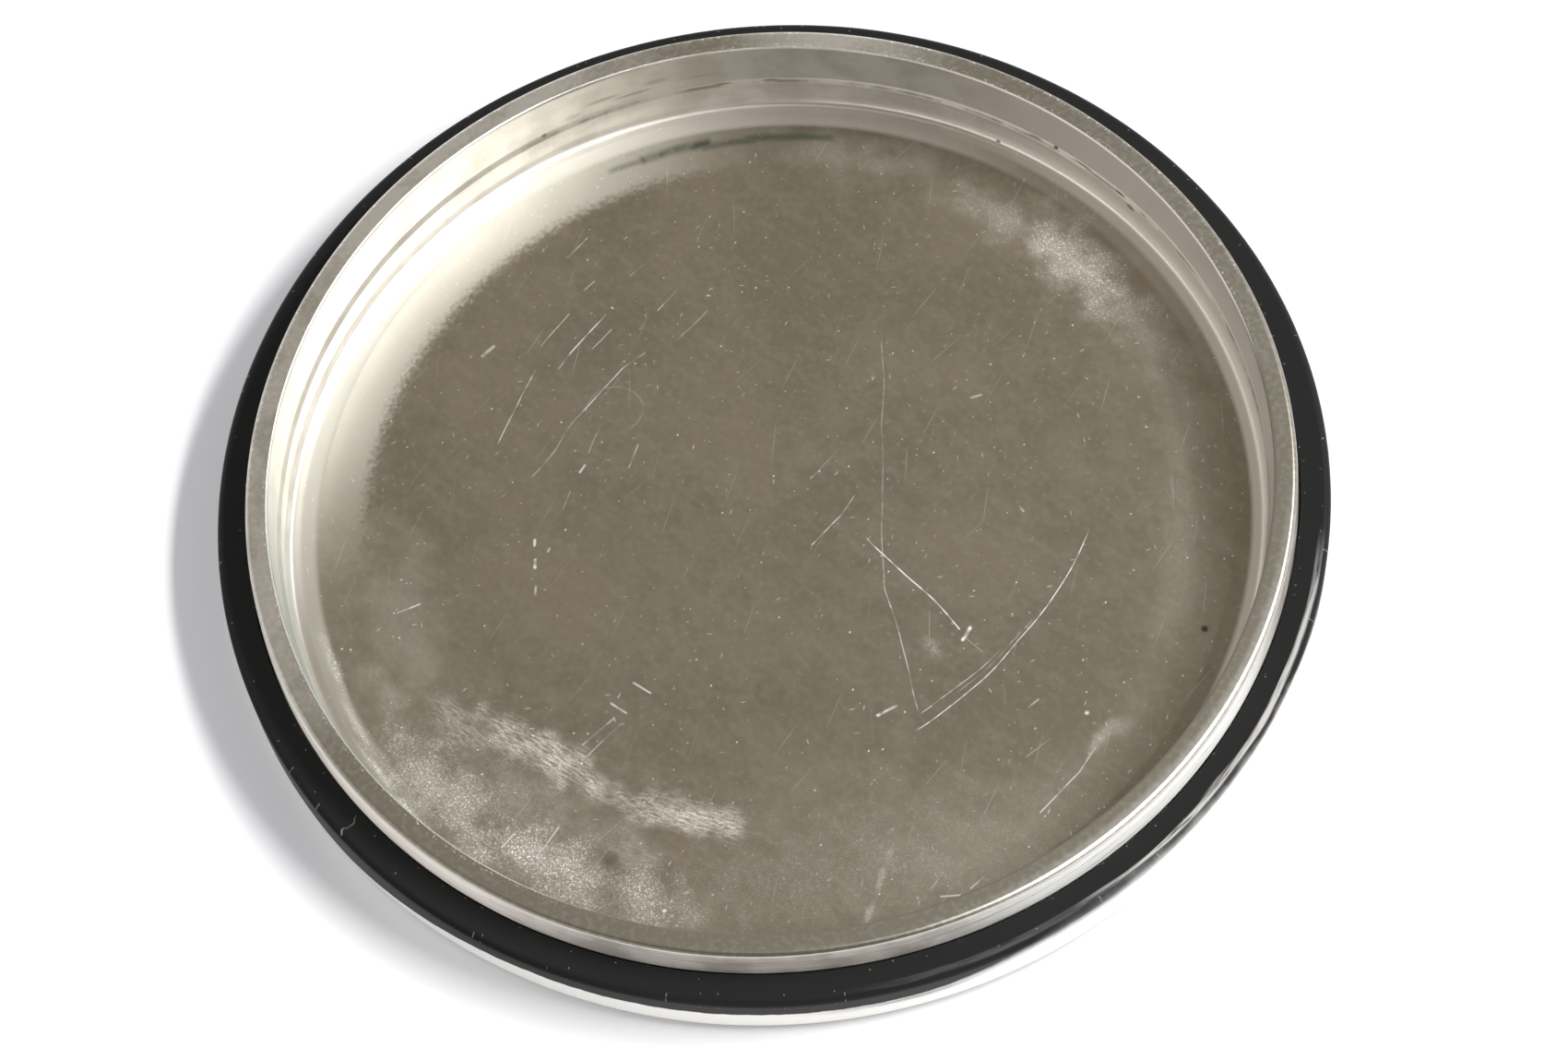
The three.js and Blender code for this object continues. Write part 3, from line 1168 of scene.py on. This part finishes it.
def makeDrawnTin():
    v = drawnValues
    material, tree = newMaterial("drawnTin")
    _, radius, angle, height = placeInMillimetres(tree)
    high = maths(tree, "GREATER_THAN", height, v["lipHeight"])
    lip = times(tree, high, ramp(tree, radius, *v["lipInner"]), ramp(tree, radius, *v["lipOuter"]))
    skirt = ramp(tree, radius, *v["skirtFade"])
    unrolled = unrollPlace(tree, radius, angle, height, v["wallRadius"])

    # streaks left up the wall by drawing, and fine pits
    across = times(tree, angle, math.radians(1) * v["wallRadius"] * v["streakAround"])
    streaks = noiseAt(tree, flatPlace(tree, across, times(tree, height, v["streakUp"])), detail=2)
    pits = times(tree, noiseAt(tree, unrolled, v["pitScale"]), v["pitShare"])
    onWall = maths(tree, "LESS_THAN", radius, v["wallTo"])
    dents = scaledPlus(tree, streaks, onWall, pits)

    # wall, rim and skirt
    patchy = noiseAt(tree, unrolled, v["patchScale"], detail=3)
    wallColour = cover(tree, blend, v["wallColour"], [
        (ramp(tree, patchy, *v["dullFade"]), v["wallDull"]),
        # painted light on the wall at the right
        (sectorMask(tree, angle, paintedLitWall), v["wallLight"]),
        (sectorMask(tree, angle, tintedWall), v["wallTint"]),
    ])
    # painted highlight on the lip in patches, and on its outer half at the front right
    wearAndHighlight = times(tree, sectorMask(tree, angle, paintedLipHighlight), ramp(tree, patchy, *v["wearAndHighlightBreak"]))
    outerLipHighlight = times(tree, sectorMask(tree, angle, paintedOuterLipHighlight), ramp(tree, radius, *v["outerLipHighlight"]))
    blotch = ramp(tree, noiseAt(tree, unrolled, v["blotchScale"], detail=3), *v["blotchFade"])
    bright = plus(tree, strongest(tree, wearAndHighlight, outerLipHighlight), blotch)
    # painted shade: the skirt darker in some sectors and along its top bend
    darkened = times(tree, sectorMask(tree, angle, paintedSkirtShade), ramp(tree, patchy, *v["skirtBreak"]))
    skirtTopShade = ramp(tree, height, *v["skirtTop"])
    skirtColour = cover(tree, blend, v["skirtColour"], [
        # painted light on the skirt at the front right
        (sectorMask(tree, angle, paintedSunlitSkirt), v["sunlitSkirtWhite"]),
        (strongest(tree, darkened, skirtTopShade), v["skirtShadeColour"]),
    ])

    # fine lines along the skirt and fainter on the wall, and painted shade on the rim's inner bend away
    # from the sectors where it catches the light
    lines = noiseAt(tree, stretched(tree, unrolled, v["lineStretch"]), detail=2)
    lines = times(tree, ramp(tree, offBy(tree, lines, 0.5), *v["lineFade"]),
                  scaledPlus(tree, onWall, v["wallLines"], skirt))
    bendShadeSectors = minus(tree, 1, sectorMask(tree, angle, brightInside))
    shadedBend = times(tree, high, ramp(tree, radius, *v["bendFade"]), bendShadeSectors)

    # painted glints on both edges of the rim
    outerEdge = ramp(tree, offBy(tree, radius, v["glintRadius"]), *v["glintOuter"])
    outerEdge = times(tree, outerEdge, sectorMask(tree, angle, glintingOuterEdge))
    innerEdge = times(tree, high, ramp(tree, radius, *v["glintInner"]),
                      sectorMask(tree, angle, glintingInnerEdge))
    edgeGlints = times(tree, fleckMask(tree, unrolled, rimEdgeGlints), strongest(tree, outerEdge, innerEdge))

    # stains on the wall and in its crease
    creased = times(tree, ramp(tree, offBy(tree, height, v["creaseHeight"]), *v["creaseFade"]),
                    ramp(tree, patchy, *v["creaseBreak"]), sectorMask(tree, angle, stainedCrease))
    stained = unrolledSpots(tree, angle, height, v["wallRadius"], wallStains)
    stained = times(tree, strongest(tree, stained, creased), ramp(tree, radius, *v["belowRim"]))

    colour = cover(tree, blend, wallColour, [
        (lip, blend(tree, bright, v["lipColour"], v["lipBright"])),
        (skirt, skirtColour),
        (lines, v["lineColour"]),
        (shadedBend, v["bendShadeColour"]),
        (edgeGlints, v["edgeColour"]),
        (stained, v["stainColour"]),
    ])
    metals = [(lip, v["lipMetal"]), (skirt, v["skirtMetal"])]
    roughs = [(lip, v["lipRough"]), (skirt, v["skirtRough"])]
    return finishMaterial(material, tree, {
        "Base Color": colour,
        "Metallic": cover(tree, mixValue, v["wallMetal"], metals),
        "Roughness": cover(tree, mixValue, v["wallRough"], roughs),
        "Normal": bumpFrom(tree, dents, v["dent"]),
    })


# Black lacquer down the lid's side to an uneven edge, bare pale tin below it

lacquerValues = {
    "black": (0.017, 0.017, 0.0165, 1),
    "shadedBlack": (0.006, 0.006, 0.006, 1),
    "tin": (0.92, 0.9, 0.86, 1),
    "streakyReflection": (0.14, 0.145, 0.148, 1),
    "dust": (0.3, 0.29, 0.27, 1),
    "wearAndHighlight": (0.5, 0.485, 0.46, 1),
    "arcRadius": 35,
    "edgeHeight": 2.86,
    "risenBy": 1.13,
    "loweredBy": 2,
    "edgeScale": 0.9,
    "edgeWave": 0.25,
    "bandStretch": (0.12, 3, 0),
    "bandWave": 0.8,
    "softness": 0.05,
    "risenSoftness": 0.42,
    "shelfRadius": 34.6,
    "crestLineHeight": 4.2,
    "crestLineRadius": 34.5,
    "crestLineWobble": 0.5,
    "crestLineFade": (0.22, 0.08),
    "crestLineStretch": (0.3, 5, 0),
    "wearAndHighlightBreak": (0.2, 0.5),
    "shadeHeights": (3, 4.25, 0.4, 1),
    "shadeRadii": (34.6, 35),
    "reflectionFade": (0.9, 0),
    "reflectionBreak": (0.35, 0.6, 0.5, 1),
    "tinMetal": 0.5,
    "tinRough": 0.3,
    "blackRough": 0.36,
    "blackShine": 0.065,
    "shadedShine": 0.03,
}

# middle angle, half angle and soft end in degrees, strength
risenEdge = [(-51, 24, 8, 1)]
crestWearAndHighlight = [(-41, 21, 6, 1), (-68, 16, 8, 0.1)]
loweredEdge = [(58, 76, 12, 1), (150, 72.5, 17.5, 1)]
shadedSide = [(210, 36, 14, 1)]
paintedReflectionSide = [(-74, 15, 9, 1), (-44, 15, 9, 0.15)]

# a hair on the shelf: start x, y, end x, y, half width, strength
hairLines = [
    (-28.44, -20.1, -28.4, -19.85, 0.09, 0.9),
    (-28.4, -19.85, -28.27, -19.77, 0.07, 0.7),
    (-28.27, -19.77, -28.06, -19.78, 0.06, 0.4),
    (-28.06, -19.78, -27.84, -19.66, 0.06, 0.45),
    (-27.84, -19.66, -27.61, -19.5, 0.07, 0.6),
    (-27.61, -19.5, -27.58, -19.25, 0.07, 0.6),
    (-27.58, -19.25, -27.48, -19.05, 0.06, 0.35),
]

# cells to a millimetre, share kept, half length, half width, turn and spread in degrees, strength
dustLayers = [
    (0.8, 0.35, 0.09, 0.05, 0, 340, 0.8),
    (0.3, 0.2, 0.8, 0.03, 0, 340, 0.4),
]


def makeLacquer():
    v = lacquerValues
    material, tree = newMaterial("blackLacquer")
    spot, radius, angle, height = placeInMillimetres(tree)
    unrolled = unrollPlace(tree, radius, angle, height, v["arcRadius"])
    wave = minus(tree, noiseAt(tree, unrolled, v["edgeScale"], detail=4), 0.5)
    bands = noiseAt(tree, stretched(tree, unrolled, v["bandStretch"]), detail=3)
    bandWave = minus(tree, bands, 0.5)

    # the height where the black ends, and how softly
    risen = sectorMask(tree, angle, risenEdge)
    edge = scaledPlus(tree, risen, v["risenBy"], v["edgeHeight"])
    edge = scaledPlus(tree, sectorMask(tree, angle, loweredEdge), -v["loweredBy"], edge)
    edge = scaledPlus(tree, times(tree, risen, bandWave), v["bandWave"], edge)
    edge = scaledPlus(tree, wave, v["edgeWave"], edge)
    softness = scaledPlus(tree, risen, v["risenSoftness"], v["softness"])
    above = maths(tree, "DIVIDE", minus(tree, height, edge), softness)
    onShelf = maths(tree, "LESS_THAN", radius, v["shelfRadius"])
    black = strongest(tree, ramp(tree, above, -1, 1), onShelf)

    # a light line along the crest, partly bare metal worn through and partly a painted highlight, dust and
    # a hair
    onTop = maths(tree, "GREATER_THAN", height, v["crestLineHeight"])
    crest = offBy(tree, scaledPlus(tree, bandWave, v["crestLineWobble"], radius), v["crestLineRadius"])
    patches = noiseAt(tree, stretched(tree, unrolled, v["crestLineStretch"]), detail=4)
    wearAndHighlight = times(tree, ramp(tree, patches, *v["wearAndHighlightBreak"]), sectorMask(tree, angle, crestWearAndHighlight),
                 ramp(tree, crest, *v["crestLineFade"]), onTop)
    hair = times(tree, lineMask(tree, flattened(tree, spot), hairLines, spread=1), onTop)
    dust = strongest(tree, fleckMask(tree, unrolled, dustLayers), hair)

    # painted shade: the black side darker and less shiny just under the crest, on the left
    shade = times(tree, ramp(tree, height, *v["shadeHeights"]), ramp(tree, radius, *v["shadeRadii"]),
                  sectorMask(tree, angle, shadedSide))
    layers = [(shade, v["shadedBlack"]), (dust, v["dust"]), (wearAndHighlight, v["wearAndHighlight"])]
    lacquer = cover(tree, blend, v["black"], layers)

    # grey streaks in the tin just below the black: a painted dark reflection at the front right
    streakyReflection = times(tree, ramp(tree, minus(tree, edge, height), *v["reflectionFade"]),
                   ramp(tree, bands, *v["reflectionBreak"]), sectorMask(tree, angle, paintedReflectionSide))
    return finishMaterial(material, tree, {
        "Base Color": blend(tree, black, blend(tree, streakyReflection, v["tin"], v["streakyReflection"]), lacquer),
        "Metallic": mixValue(tree, black, v["tinMetal"], 0),
        "Roughness": mixValue(tree, black, v["tinRough"], v["blackRough"]),
        "Specular IOR Level": mixValue(tree, shade, v["blackShine"], v["shadedShine"]),
    })


# Inside of the lid: bare tin with rings left by spinning

insideValues = {
    "colour": (0.78, 0.76, 0.71, 1),
    "dull": (0.71, 0.685, 0.63, 1),
    "patchScale": 0.09,
    "dullFade": (0.35, 0.7),
    "metal": 0.9,
    "rough": 0.28,
    "ringScale": 2.2,
    "ringAround": 0.02,
    "dent": 0.004 * mm,
}


def makeInsideTin():
    v = insideValues
    material, tree = newMaterial("insideTin")
    spot, radius, angle, height = placeInMillimetres(tree)
    ringPlace = flatPlace(tree, times(tree, angle, v["ringAround"]), plus(tree, radius, height))
    rings = noiseAt(tree, ringPlace, v["ringScale"], detail=2)
    dull = ramp(tree, noiseAt(tree, spot, v["patchScale"], detail=3), *v["dullFade"])
    return finishMaterial(material, tree, {
        "Base Color": blend(tree, dull, v["colour"], v["dull"]),
        "Metallic": v["metal"],
        "Roughness": v["rough"],
        "Normal": bumpFrom(tree, rings, v["dent"]),
    })


makeEffects()
makeCamera()
makeLamp("key")
makeLamp("fill")
makeWorld()
makePaper()
print("stage, lamps and camera are ready")

drawnTin = makeDrawnTin()
pan = makePan([drawnTin, makeTarnishedTin(), drawnTin, drawnTin])
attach(pan, "pan")
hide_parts("base_pan")
print("pan is ready")

lid = makeLid([makeLacquer(), makeInsideTin()])
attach(lid, "lid")
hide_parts("lid_shell")
print("lid is ready")

bpy.context.scene.view_settings.view_transform = "Standard"
